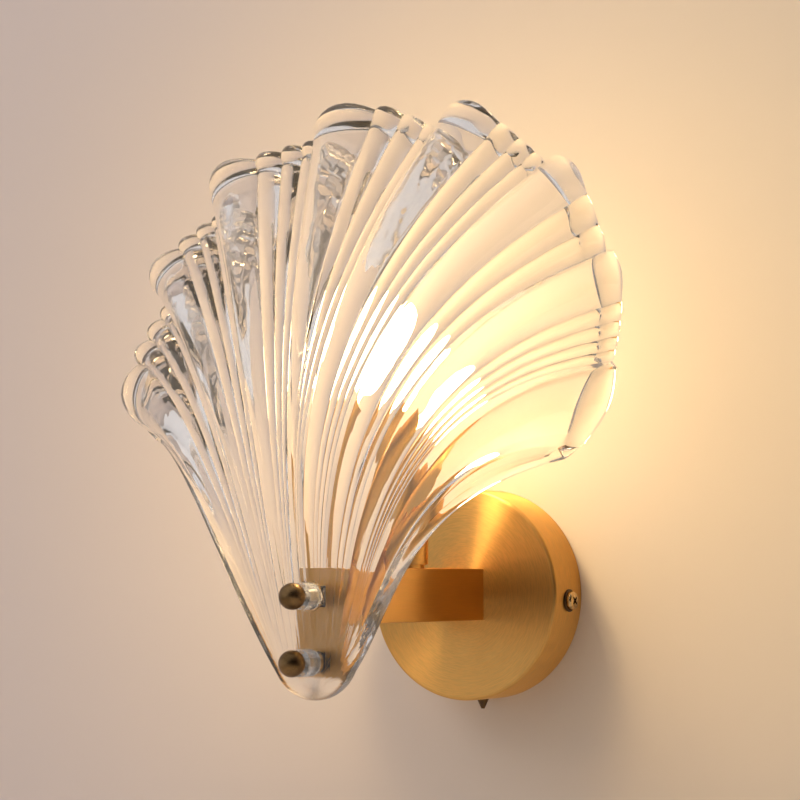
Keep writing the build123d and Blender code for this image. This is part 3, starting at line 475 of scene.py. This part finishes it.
# Stud holes, and the flat seats round them for the spacers
STUD_HEIGHTS = (0.0, -28.0)
HOLE_R = 4.2
SEAT_R = 6.6
SEAT_SINK = 0.05  # how deep a seat is cut into the valleys between the flutes
HOLE_CLEAR = 20.0  # how far a hole's cutter stands out of both faces
SEAT_CLEAR = 30.0  # how far a seat's cutter stands out in front, past the crests
CUTTER_SIDES = 48


def curve_point(points, share):
    """The point at a share of the way along a curve with any number of control points."""
    points = list(points)
    while len(points) > 1:
        points = [first.lerp(second, share) for first, second in zip(points, points[1:])]
    return points[0]


class Shell:
    """The shell's ribs, for a thickness of the glass at the foot and at the rim."""

    def __init__(self, thickness, rim_thickness):
        self.foot_y = -GLASS_BACK - thickness / 2
        self.halves = (thickness / 2, thickness / 2, rim_thickness / 2, rim_thickness / 2)

    def rim_point(self, psi, level, group):
        """Point on the middle surface's rim, at a rim angle, a level and in a group."""
        out = STEP_OUT * level + GROUP_RISE[group] * max(level, 0) + GROUP_DROP[group] * min(level, 0)
        side, up = sin(radians(psi)), cos(radians(psi))
        return RIM_CENTRE + Vector((
            (RIM_HALF_W + out) * side,
            RIM_LEAN * RIM_HALF_H * up + RIM_SIDE_BACK * side**2 - STEP_FRONT * level,
            RIM_HALF_H / RIM_HALF_W * (RIM_HALF_W + out) * up,
        ))

    def rib(self, psi, level=0.0, group=0, end_side=0):
        """A rib's control points; end_side is -1 on the shell's first rib, 1 on its last and 0 elsewhere."""
        share = psi / FULL_ANGLE
        size, sign = abs(share), (1 if share >= 0 else -1)
        middle = max(0.0, 1 - size**2)
        turn = radians(FOOT_ANGLE * share)
        foot = Vector((FOOT_R * sin(turn), self.foot_y, FOOT_Z + FOOT_R * (1 - cos(turn))))
        tip = self.rim_point(psi, level, group)
        length = Vector((tip.x - foot.x, 0, tip.z - foot.z)).length
        low = radians(FOOT_LEAN * sign * size**FOOT_LEAN_POWER)
        high = radians(EDGE_LEANS[end_side > 0] if end_side else TIP_LEAN * sign * size**TIP_LEAN_POWER)
        pull = length * (TIP_PULL_MID + (TIP_PULL_SIDE - TIP_PULL_MID) * size**2)
        first = foot + Vector((sin(low), 0, cos(low))) * (length * FOOT_PULL)
        first += Vector((MID_SHIFT_LOW * middle, 0, 0))
        second = Vector((
            tip.x - sin(high) * pull + MID_SHIFT_HIGH * middle,
            self.foot_y + SWEEP_START * (tip.y - self.foot_y),
            tip.z - cos(high) * pull,
        ))
        return [foot, first, second, tip]

    def directions(self, psi, end_side=0):
        """Along, across and out of the glass at each of a rib's four points."""
        here, beside = self.rib(psi, end_side=end_side), self.rib(psi + 1, end_side=end_side)
        rows = []
        for row in range(4):
            lower, upper = (row, row + 1) if row < 3 else (2, 3)
            along = (here[upper] - here[lower]).normalized()
            across = (beside[row] - here[row]).normalized()
            normal = across.cross(along).normalized() if row == 3 else FORWARD
            rows.append([along, across, normal])
        rows[2][2] = (rows[3][2] + FORWARD).normalized()
        return rows

    def faces(self, psi, level, group, end_side=0):
        """Front and back points of a rib and the way its rounded edge bulges."""
        middle, rows = self.rib(psi, level, group, end_side), self.directions(psi, end_side)
        front = [point + row[2] * half for point, row, half in zip(middle, rows, self.halves)]
        back = [point - row[2] * half for point, row, half in zip(middle, rows, self.halves)]
        turn = radians(FOOT_ANGLE * psi / FULL_ANGLE)
        side_out = [(across - along * across.dot(along)).normalized() * end_side for along, across, _ in rows]
        rim_out = (rows[3][0] + rows[3][1] * end_side).normalized()
        return {"front": front, "back": back,
                "out": [Vector((sin(turn), 0, -cos(turn))), side_out[1], side_out[2], rim_out]}

    def crest(self, left, right, psi, middle, bulge, fades):
        """Control points between two ribs that carry a flute's crest."""
        rows = self.directions(psi)
        points = []
        for row in range(4):
            width = (right[row] - left[row]).length
            top = middle[row] + rows[row][2] * (bulge * width * fades[row])
            points.append(top * 2 - (left[row] + right[row]) / 2)
        return points

    def nets(self, rib, next_rib, left, right):
        """Control points midway between two ribs, in front and at the back, and the edge's bulge there."""
        psi, level, group, kind = rib
        next_psi, next_level = next_rib[:2]
        middle_psi = (psi + next_psi) / 2
        nets = {"out": self.faces(middle_psi, 0.0, group)["out"]}
        for name in ("front", "back"):
            if kind in ("step", "edge"):
                nets[name] = [(one + other) / 2 for one, other in zip(left[name], right[name])]
                continue
            middle_level = CREST_LEVEL if kind in ("wide", "last") else (level + next_level) / 2
            middle = self.faces(middle_psi, middle_level, group)[name]
            bulge = BULGES[kind] if name == "front" else 0.0
            nets[name] = self.crest(left[name], right[name], middle_psi, middle, bulge, BULGE_FADES[kind])
        return nets


def rib_list():
    """One entry for each rib: rim angle, level, group, and the flute or strip that follows it."""
    ribs = [[EDGE_ANGLES[0], EDGE_LEVELS[0], 0, "edge"]]
    for group, count in enumerate(GROUP_FLUTES):
        start, end = GROUP_ANGLES[group], GROUP_ANGLES[group + 1]
        if group > 0:
            ribs[-1][3] = "step"
            start += STEP_ANGLE
        ribs.append([start, START_LEVEL if group > 0 else FIRST_LEVEL, group, "wide"])
        if count == 1:
            ribs[-1][3] = "last"
            ribs.append([end, LAST_LEVEL, group, "edge"])
            ribs.append([EDGE_ANGLES[1], EDGE_LEVELS[1], group, None])
            continue
        wide_end = start + WIDE_SHARE * (end - start)
        shares = [NARROW_RATIO**k for k in range(count - 1)]
        reached = 0.0
        for share in shares:
            ribs.append([wide_end + reached * (end - wide_end),
                         WIDE_END_LEVEL + (GROUP_END_LEVEL - WIDE_END_LEVEL) * reached, group, "narrow"])
            reached += share / sum(shares)
        ribs.append([end, GROUP_END_LEVEL, group, None])
    return ribs


def squared(part):
    """A sine or cosine bent so that a circle drawn with it becomes a square with round corners."""
    return copysign(abs(part)**(2 / EDGE_POWER), part)


def edge_round(front, back, reach):
    """Points from the front to the back of the glass, over an edge with round corners."""
    turns = [pi / 2 - pi * step / ROUND_STEPS for step in range(ROUND_STEPS + 1)]
    middle, half = (front + back) / 2, (front - back) / 2
    return [middle + reach * squared(cos(turn)) + half * squared(sin(turn)) for turn in turns]


def fluted(left, net, right, turn):
    """A point across a flute; turn runs from 0 to pi, so steps crowd at the valleys, which are steep."""
    rise = (net - (left + right) / 2) / 2
    forward = Vector((0, rise.y, 0))
    flat = left.lerp(right, (1 - cos(turn)) / 2) + (rise - forward) * sin(turn)**2
    return flat + forward * sin(turn)**FULLNESS


def column_between(left, nets, right, turn):
    """The control column at a turn from one rib to the next: both faces and the bulges at foot and rim."""
    def at(name, row):
        return fluted(left[name][row], nets[name][row], right[name][row], turn)

    column = {name: [at(name, row) for row in range(4)] for name in ("front", "back")}
    column["foot_out"] = at("out", 0).normalized()
    column["rim_out"] = at("out", 3).normalized()
    return column


def shell_columns(shell, across):
    """Control columns over the whole shell, and the faces of its first and its last rib."""
    ribs = rib_list()
    last = len(ribs) - 1
    sides = [shell.faces(psi, level, group, -1 if place == 0 else int(place == last))
             for place, (psi, level, group, _) in enumerate(ribs)]
    columns = []
    for place in range(last):
        left, right = sides[place], sides[place + 1]
        nets = shell.nets(ribs[place], ribs[place + 1], left, right)
        steps = max(FEWEST_STEPS, round(across * STEPS_ACROSS[ribs[place][3]]))
        for step in range(steps + (place == last - 1)):
            columns.append(column_between(left, nets, right, pi * step / steps))
    return columns, sides[0], sides[-1]


def bead(column):
    """The bead on the rim, from front to back, and where along both faces it starts."""
    front, back, out = column["front"], column["back"], column["rim_out"]
    half = (front[3] - back[3]).length / 2
    normal = (front[3] - back[3]).normalized()
    radius = half * BEAD_SHARE
    centre = (front[3] + back[3]) / 2 + out * (RIM_REACH - radius)
    crease = pi - asin((half / radius)**(EDGE_POWER / 2))
    turns = [crease * (1 - 2 * step / ROUND_STEPS) for step in range(ROUND_STEPS + 1)]
    points = [centre + out * (radius * squared(cos(turn))) + normal * (radius * squared(sin(turn)))
              for turn in turns]
    inset = radius - RIM_REACH - radius * squared(cos(crease))
    return points, [1 - inset / (3 * (face[3] - face[2]).length) for face in (front, back)]


def column_loop(column, along):
    """The closed line of points round a column: up the front, over the rim, down the back, under the foot."""
    rim_bead, (front_end, back_end) = bead(column)
    points = [curve_point(column["front"], front_end * step / along) for step in range(along)]
    points += rim_bead
    points += [curve_point(column["back"], back_end * (1 - step / along)) for step in range(1, along)]
    front, back = column["front"][0], column["back"][0]
    return points + edge_round(back, front, column["foot_out"] * (front - back).length * FOOT_REACH)


def side_round(side, column, along):
    """Rows of points over the rounded side edge of the first or last rib, up to the rim's bead."""
    front, back = side["front"], side["back"]
    shares = (FOOT_REACH, SIDE_REACH, SIDE_REACH, FOOT_REACH)
    reaches = [out * (one - other).length * share
               for one, other, out, share in zip(front, back, side["out"], shares)]
    rim_bead, (front_end, back_end) = bead(column)
    rows = []
    for step in range(along):
        ends = curve_point(front, front_end * step / along), curve_point(back, back_end * step / along)
        rows.append(edge_round(*ends, curve_point(reaches, step / along)))
    return rows + [rim_bead]


def in_metres(rows):
    """Rows of points in millimetres as rows in metres."""
    return [[point * MM for point in row] for row in rows]


def drill(piece, radius, near, far):
    """Cuts a round space at each stud, between two distances from the wall, out of the glass."""
    for height in STUD_HEIGHTS:
        bpy.ops.object.select_all(action="DESELECT")
        middle = (0, -(near + far) / 2 * MM, height * MM)
        bpy.ops.mesh.primitive_cylinder_add(vertices=CUTTER_SIDES, radius=radius * MM,
                                            depth=(far - near) * MM, rotation=ALONG_Y, location=middle)
        cutter = bpy.context.object
        cut = piece.modifiers.new("cut", "BOOLEAN")
        cut.operation, cut.solver, cut.object = "DIFFERENCE", "EXACT", cutter
        apply_modifiers(piece)
        bpy.data.objects.remove(cutter)


def shell_mesh(sizes):
    """The shell without its holes: one net over front, rim, back and foot, closed by a net at each side."""
    shell = Shell(sizes.thickness_mm, sizes.rim_thickness_mm)
    columns, first, last = shell_columns(shell, sizes.across)
    skin = net_piece("fluted_shell", in_metres([column_loop(column, sizes.along) for column in columns]))
    edges = [net_piece("side", in_metres(side_round(side, column, sizes.along)))
             for side, column in ((first, columns[0]), (last, columns[-1]))]
    piece = join([skin, *edges])
    in_edit_mode(
        piece,
        lambda: bpy.ops.mesh.remove_doubles(threshold=MERGE_MM * MM),
        lambda: bpy.ops.mesh.normals_make_consistent(inside=False),
    )
    return piece


class SCONCE_OT_glass_shell(bpy.types.Operator):
    """Make the fluted glass shell as one smooth closed mesh and give it its glass"""

    bl_idname = "sconce.glass_shell"
    bl_label = "Glass shell"

    def execute(self, context):
        sizes = context.scene.sconce_glass
        piece = shell_mesh(sizes)
        front = GLASS_BACK + sizes.thickness_mm
        drill(piece, HOLE_R, GLASS_BACK - HOLE_CLEAR, front + HOLE_CLEAR)
        drill(piece, SEAT_R, front - SEAT_SINK, front + SEAT_CLEAR)
        smooth(piece, SMOOTH_ANGLE)
        to_origin(piece)
        foot = (0, 0, FOOT_Z * MM)
        finish = clear_glass("clear_glass_finish", sizes.index, sizes.ripple_mm * MM, fan=foot)
        depth = {"Color": sizes.depth_tint, "Density": sizes.depth}
        finish.set(finish.out, {"Volume": finish.add("ShaderNodeVolumeAbsorption", depth).outputs[0]})
        piece.data.materials.clear()
        piece.data.materials.append(finish.material)
        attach(piece, "root")
        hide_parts("glass_shell")
        return {"FINISHED"}


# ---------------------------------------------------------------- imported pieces
class SCONCE_OT_satin_brass(bpy.types.Operator):
    """Finish the canopy, arm, front plate, washer and sleeve in brushed brass"""

    bl_idname = "sconce.satin_brass"
    bl_label = "Brushed brass pieces"

    def execute(self, context):
        tint = context.scene.sconce_metal.satin
        canopy_axis = axis_of("canopy", Y)
        dress(brushed("canopy_brass", tint, lambda finish: finish.spun(canopy_axis, ALONG_Y)), "canopy")
        along_arm = brushed("arm_brass", tint, lambda finish: finish.drawn(Y), round_axis=False,
                            roughness=0.34, contrast=0.05, depth=0.00001)
        dress(along_arm, "arm")
        dress(brushed("plate_brass", tint, lambda finish: finish.drawn(Z), axis="X"), "front_plate")
        sleeve_axis = axis_of("holder_sleeve", Z)
        round_sleeve = brushed("sleeve_brass", tint, lambda finish: finish.spun(sleeve_axis), axis="Z")
        dress(round_sleeve, "holder_sleeve", "holder_washer")
        return {"FINISHED"}


class SCONCE_OT_fixings(bpy.types.Operator):
    """Finish the ball nuts, spacers, sleeves, pads and the canopy's screws"""

    bl_idname = "sconce.fixings"
    bl_label = "Glass fixings and screws"

    def execute(self, context):
        metal = context.scene.sconce_metal
        aged = mottled("aged_brass_finish", metal.aged, metal.worn, size=0.009, roughness=0.32)
        dress(aged, "upper_ball_nut", "lower_ball_nut")
        polished = mottled("polished_brass_finish", metal.polished, metal.worn, size=0.004, roughness=0.18)
        dress(polished, "side_screws")
        bronze = mottled("dark_bronze_finish", metal.bronze, metal.aged, size=0.003, roughness=0.38)
        dress(bronze, "side_screw_washers", "bottom_screw")
        acrylic = clear_glass("clear_plastic_finish", index=1.42, ripple=0.00002, clear=0.8, frost=0.12)
        dress(acrylic, "upper_spacer", "lower_spacer", "hole_sleeves")
        dress(moulded("rubber_finish"), "rear_pads")
        return {"FINISHED"}


class SCONCE_OT_hardware(bpy.types.Operator):
    """Finish the hidden brass and steel hardware"""

    bl_idname = "sconce.hardware"
    bl_label = "Hidden hardware"

    def execute(self, context):
        metal = context.scene.sconce_metal
        lying = turned("turned_brass_finish", metal.turned, (0, 0, 0), ALONG_Y)
        dress(lying, "arm_nipple", "arm_nipple_nut", "arm_end_block", "earth_screw", "glass_studs")
        upright = turned("holder_brass_finish", metal.turned, axis_of("holder_sleeve", Z))
        dress(upright, "holder_nipple", "holder_nut", "holder_screw_shell", "holder_contact",
              "holder_terminals", "terminal_tubes")
        zinc = mottled("zinc_finish", metal.zinc, (0.72, 0.70, 0.58), size=0.009, roughness=0.36)
        dress(zinc, "mounting_plate", "arm_nipple_washer", "earth_lug", "holder_clamp_screws",
              "terminal_block_screw", "terminal_screws")
        return {"FINISHED"}


class SCONCE_OT_lampholder(bpy.types.Operator):
    """Finish the lampholder's ceramic and the terminal block"""

    bl_idname = "sconce.lampholder"
    bl_label = "Lampholder and terminal block"

    def execute(self, context):
        dress(moulded("ceramic_finish"), "holder_body")
        dress(moulded("nylon_finish"), "terminal_block")
        return {"FINISHED"}


class SCONCE_OT_bulb(bpy.types.Operator):
    """Finish the bulb: lit opal globe and filament, nickel cap, glass stem, black glass and solder"""

    bl_idname = "sconce.bulb"
    bl_label = "Bulb"

    def execute(self, context):
        light = context.scene.sconce_light
        nickel = context.scene.sconce_metal.nickel
        glowing = {"Emission Color": light.lamp, "Emission Strength": light.lamp_strength}
        opal = Finish("opal_glass_finish", {"Roughness": 0.25, "Coat Weight": 0.6, "Coat Roughness": 0.05})
        opal.set(opal.skin, {
            "Base Color": opal.blend(opal.noise(0.012, detail=3.0), (0.95, 0.92, 0.86), (0.90, 0.86, 0.78)),
            **glowing,
        })
        opal.let_lamps_through()
        dress(opal, "bulb_globe")
        wire = mottled("filament_finish", (0.5, 0.45, 0.4), (0.4, 0.36, 0.3), size=0.001, roughness=0.4)
        wire.set(wire.skin, glowing)
        dress(wire, "bulb_filament")
        dress(mottled("nickel_finish", nickel, (0.60, 0.58, 0.52), size=0.005, roughness=0.30), "bulb_cap")
        dress(moulded("black_glass_finish"), "bulb_insulator")
        solder = mottled("solder_finish", (0.62, 0.62, 0.62), (0.45, 0.45, 0.46), size=0.001, roughness=0.35)
        dress(solder, "bulb_contact")
        stem = clear_glass("stem_glass_finish", index=1.5, ripple=0.00002, shadow_tint=(1, 1, 1))
        dress(stem, "bulb_stem")
        return {"FINISHED"}


class SCONCE_OT_wiring(bpy.types.Operator):
    """Finish the leads"""

    bl_idname = "sconce.wiring"
    bl_label = "Wiring"

    def execute(self, context):
        dress(moulded("brown_finish"), "line_lead")
        dress(moulded("blue_finish"), "neutral_lead")
        dress(moulded("green_finish"), "earth_lead")
        return {"FINISHED"}


# ---------------------------------------------------------------- stage
CAMERA_AT = (0.5116, -0.8842, 0.00748)
CAMERA_TURN = (94.856, 0.0, 32.48)  # degrees
CAMERA_LENS_MM = 94.5
STAGE_SIZE = 8.0
WALL_GAP = 0.0005  # the wall stands this far behind the light's back
CANOPY_COVER = 0.001  # how much the canopy covers beyond the opening in the wall
# A pool of the bulb's light painted on the wall: its centre and its reach
PAINTED_GLOW_AT = (0.20, 0.0, 0.12)  # where the painted pool of the bulb's light on the wall is brightest
PAINTED_GLOW_REACH = 0.60
KEY_AT = (-0.9, -0.9, 1.1)
KEY_TOWARDS = (0, -0.08, 0.08)
KEY_WIDTH = 0.9
KEY_TINT = (0.96, 0.95, 1.0)
BULB_LAMP_SHARE = 0.12  # radius of the lamp in the globe, as a share of the globe's width
DIM_SIDE = (0.85, -0.35, -0.39)  # the way to the room's dim side
DIM_EDGE = (-0.15, 0.55)  # between these cosines from that way pale turns to dim


def plaster(name, tint, second, share_of):
    """Fine plaster between two colours; share_of draws how much there is of the second."""
    finish = Finish(name, {"Roughness": 0.9})
    finish.set(finish.skin, {
        "Base Color": finish.blend(share_of(finish), tint, second),
        "Normal": finish.bump(finish.noise(0.003, detail=4.0), depth=0.00005, strength=0.3),
    })
    return finish


def floor_plaster(tint):
    """Plaster with faint soft clouds."""
    darker = [component * 0.96 for component in tint]
    return plaster("floor_plaster", tint, darker, lambda finish: finish.noise(0.4, detail=2.0))


def wall_plaster_painted_glow(tint, painted_glow):
    """Plaster with a painted pool of the bulb's light beside the glass, unseen from behind, and open where the
    canopy covers it.
    """
    def painted_glow_share(finish):
        # share of the painted glow of the bulb's light: full at its centre, none beyond its reach
        away = finish.distance(PAINTED_GLOW_AT)
        return finish.spread(away, 1.0, 0.0, start=0.0, end=PAINTED_GLOW_REACH, curve="SMOOTHSTEP")

    finish = plaster("wall_plaster_painted_glow", tint, painted_glow, painted_glow_share)
    low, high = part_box("canopy")
    opening = (high.x - low.x) / 2 - CANOPY_COVER
    covered = finish.maths("LESS_THAN", finish.distance(axis_of("canopy", Y)), opening)
    behind = finish.add("ShaderNodeNewGeometry").outputs["Backfacing"]
    finish.see_through(finish.maths("MAXIMUM", behind, covered))
    return finish


def stage_plane(name, centre, turn, finish):
    """A large square of the stage."""
    bpy.ops.mesh.primitive_plane_add(size=STAGE_SIZE, location=centre, rotation=turn)
    plane = bpy.context.object
    plane.name = name
    plane.data.materials.append(finish.material)
    to_origin(plane)
    return plane


def key_lamp(power):
    """A large soft lamp at the upper left, in front of the light."""
    bpy.ops.object.light_add(type="AREA", location=KEY_AT)
    lamp = bpy.context.object
    lamp.name = "key"
    lamp.data.shape = "DISK"
    lamp.data.size = KEY_WIDTH
    lamp.data.energy = power
    lamp.data.color = KEY_TINT
    lamp.rotation_euler = (Vector(KEY_TOWARDS) - Vector(KEY_AT)).to_track_quat("-Z", "Y").to_euler()
    lamp.visible_glossy = False
    lamp.visible_transmission = False


def bulb_lamp(power, tint):
    """A lamp inside the globe whose light doesn't fade, as the photographed wall is lit almost evenly."""
    low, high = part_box("bulb_globe")
    bpy.ops.object.light_add(type="POINT", location=(low + high) / 2)
    lamp = bpy.context.object
    lamp.name = "bulb_light"
    lamp.data.energy = power
    lamp.data.color = tint
    lamp.data.shadow_soft_size = (high.x - low.x) * BULB_LAMP_SHARE
    tree = Tree(lamp.data)
    steady = tree.add("ShaderNodeLightFalloff", {"Strength": 1.0}).outputs["Constant"]
    tree.set(tree.nodes["Emission"], {"Strength": steady})


def room_air(tint, dim, strength):
    """The world: a pale room with a dim side, and pale all round for the camera."""
    world = bpy.data.worlds.new("room")
    bpy.context.scene.world = world
    tree = Tree(world)
    ray = {0: tree.add("ShaderNodeTexCoord").outputs["Generated"], 1: DIM_SIDE}
    facing = tree.add("ShaderNodeVectorMath", ray, operation="DOT_PRODUCT").outputs["Value"]
    dimness = tree.spread(facing, 0.0, 1.0, *DIM_EDGE, curve="SMOOTHSTEP")
    lit = tree.blend(dimness, [component * strength for component in tint], dim)
    seen = tree.add("ShaderNodeLightPath").outputs["Is Camera Ray"]
    tree.set(tree.nodes["Background"], {"Color": tree.blend(seen, lit, tint)})


class SCONCE_OT_stage(bpy.types.Operator):
    """Stand the camera, the pale wall and floor and the soft lamps round the light"""

    bl_idname = "sconce.stage"
    bl_label = "Stage"

    def execute(self, context):
        light = context.scene.sconce_light
        bpy.ops.object.camera_add(location=CAMERA_AT, rotation=[radians(turn) for turn in CAMERA_TURN])
        camera = bpy.context.object
        camera.name = "camera"
        camera.data.lens = CAMERA_LENS_MM
        context.scene.camera = camera
        half = STAGE_SIZE / 2
        # the wall carries a painted pool of the bulb's light beside the glass
        wall = stage_plane("wall", (0, WALL_GAP, half - light.floor_depth), ALONG_Y,
                           wall_plaster_painted_glow(light.wall, light.painted_glow))
        floor = stage_plane("floor", (0, WALL_GAP - half, -light.floor_depth), (0, 0, 0),
                            floor_plaster(light.floor))
        key_lamp(light.key_power)
        bulb_lamp(light.lamp_power, light.lamp)
        room_air(light.room, light.dim, light.room_strength)
        context.scene.view_settings.view_transform = "Standard"
        return {"FINISHED"}


# ---------------------------------------------------------------- panel and registration
OPERATORS = (
    SCONCE_OT_stage,
    SCONCE_OT_glass_shell,
    SCONCE_OT_satin_brass,
    SCONCE_OT_fixings,
    SCONCE_OT_hardware,
    SCONCE_OT_lampholder,
    SCONCE_OT_bulb,
    SCONCE_OT_wiring,
)
GROUPS = {"sconce_glass": SCONCE_PG_glass, "sconce_metal": SCONCE_PG_metal, "sconce_light": SCONCE_PG_light}


class SCONCE_PT_panel(bpy.types.Panel):
    """Lists the sizes and colours, the pieces and the stage"""

    bl_idname = "SCONCE_PT_panel"
    bl_label = "Shell wall sconce"
    bl_space_type = "VIEW_3D"
    bl_region_type = "UI"
    bl_category = "Sconce"

    def draw(self, context):
        for group in GROUPS:
            box = self.layout.box()
            settings = getattr(context.scene, group)
            for name in settings.__annotations__:
                box.prop(settings, name)
        for operator in OPERATORS:
            self.layout.operator(operator.bl_idname)


def register():
    """Adds the properties, the operators and the panel."""
    for name, group in GROUPS.items():
        bpy.utils.register_class(group)
        setattr(bpy.types.Scene, name, PointerProperty(type=group))
    for operator in OPERATORS:
        bpy.utils.register_class(operator)
    bpy.utils.register_class(SCONCE_PT_panel)


def unregister():
    """Takes the panel, the operators and the properties away again."""
    bpy.utils.unregister_class(SCONCE_PT_panel)
    for operator in reversed(OPERATORS):
        bpy.utils.unregister_class(operator)
    for name, group in GROUPS.items():
        delattr(bpy.types.Scene, name)
        bpy.utils.unregister_class(group)


def main():
    """Dresses the light."""
    register()
    for operator in OPERATORS:
        group, name = operator.bl_idname.split(".")
        getattr(getattr(bpy.ops, group), name)()


if __name__ == "__main__":
    main()
